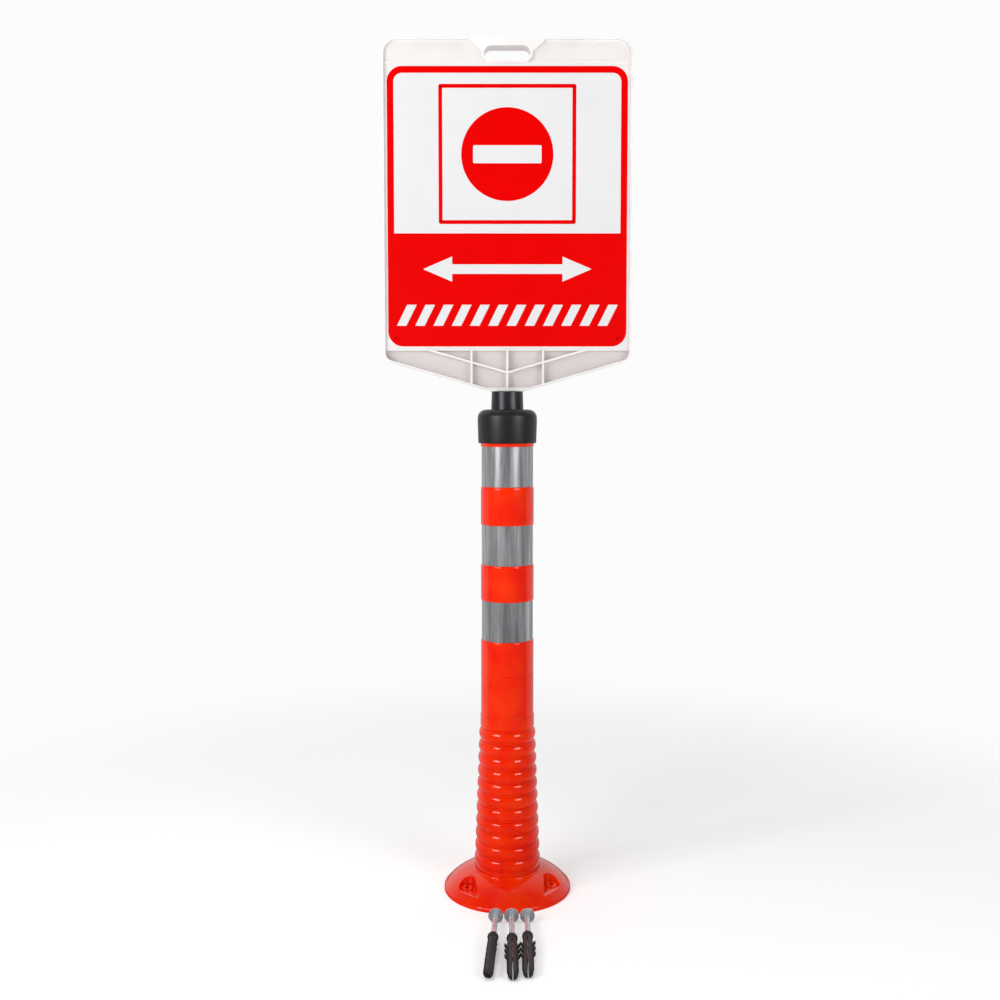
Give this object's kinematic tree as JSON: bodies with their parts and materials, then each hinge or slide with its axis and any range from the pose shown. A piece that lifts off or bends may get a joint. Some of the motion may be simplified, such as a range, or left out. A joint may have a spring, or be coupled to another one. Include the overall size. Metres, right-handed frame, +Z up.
{
  "type": "delineator post with sign",
  "caption": "Flexible orange delineator post on a round bolt-down base, with a ribbed bending foot, silver bands and a lift-off sign on a black cap; floor anchors lie beside it.",
  "frame": {"origin": "centre of the base's underside, on the floor and on the axis of the anchor holes' circle", "axes": "+Z up along the post, -Y towards the side that the sign's label faces, +X to the right seen from there"},
  "size_m": [0.38, 0.3975, 1.3178],
  "materials": {
    "orange_tpu": "glossy moulded polyurethane",
    "reflective_film": "silver glass-bead reflective film",
    "cap_rubber": "satin black rubber",
    "neck_plastic": "black polypropylene, semi-gloss",
    "sign_plastic": "white injection-moulded polypropylene",
    "label_print": "printed self-adhesive film",
    "zinc_steel": "bright zinc plating",
    "plug_nylon": "dark grey nylon"
  },
  "bodies": {
    "base": {"base_flange": "orange_tpu", "column_lower": "orange_tpu", "anchor_screw_left": "zinc_steel", "anchor_screw_middle": "zinc_steel", "anchor_screw_right": "zinc_steel", "anchor_washer_left": "zinc_steel", "anchor_washer_middle": "zinc_steel", "anchor_washer_right": "zinc_steel", "anchor_plug_left": "plug_nylon", "anchor_plug_middle": "plug_nylon", "anchor_plug_right": "plug_nylon"},
    "ring": {"column_ring": "orange_tpu"},
    "post": {"column_upper": "orange_tpu", "post_tube": "orange_tpu", "band_lower": "reflective_film", "band_middle": "reflective_film", "band_upper": "reflective_film"},
    "adapter": {"adapter_cap": "cap_rubber", "neck_socket": "neck_plastic"},
    "sign": {"sign_board": "sign_plastic", "sign_label": "label_print"}
  },
  "joints": [
    {"name": "post_bend_fore_aft", "type": "hinge", "parent": "base", "child": "ring", "pos_m": [0, 0, 0.091], "axis": [1, 0, 0], "range_deg": [-60, 60], "stiffness_Nm_per_rad": 120, "deforming": ["column_lower"]},
    {"name": "post_bend_sideways", "type": "hinge", "parent": "ring", "child": "post", "pos_m": [0, 0, 0.211], "axis": [0, 1, 0], "range_deg": [-60, 60], "stiffness_Nm_per_rad": 120, "deforming": ["column_upper"]},
    {"name": "adapter_lift", "type": "slide", "parent": "post", "child": "adapter", "axis": [0, 0, 1], "range_m": [0, 0.1]},
    {"name": "sign_swivel", "type": "hinge", "parent": "adapter", "child": "sign", "pos_m": [0, 0, 0.786], "axis": [0, 0, 1], "continuous": true}
  ]
}
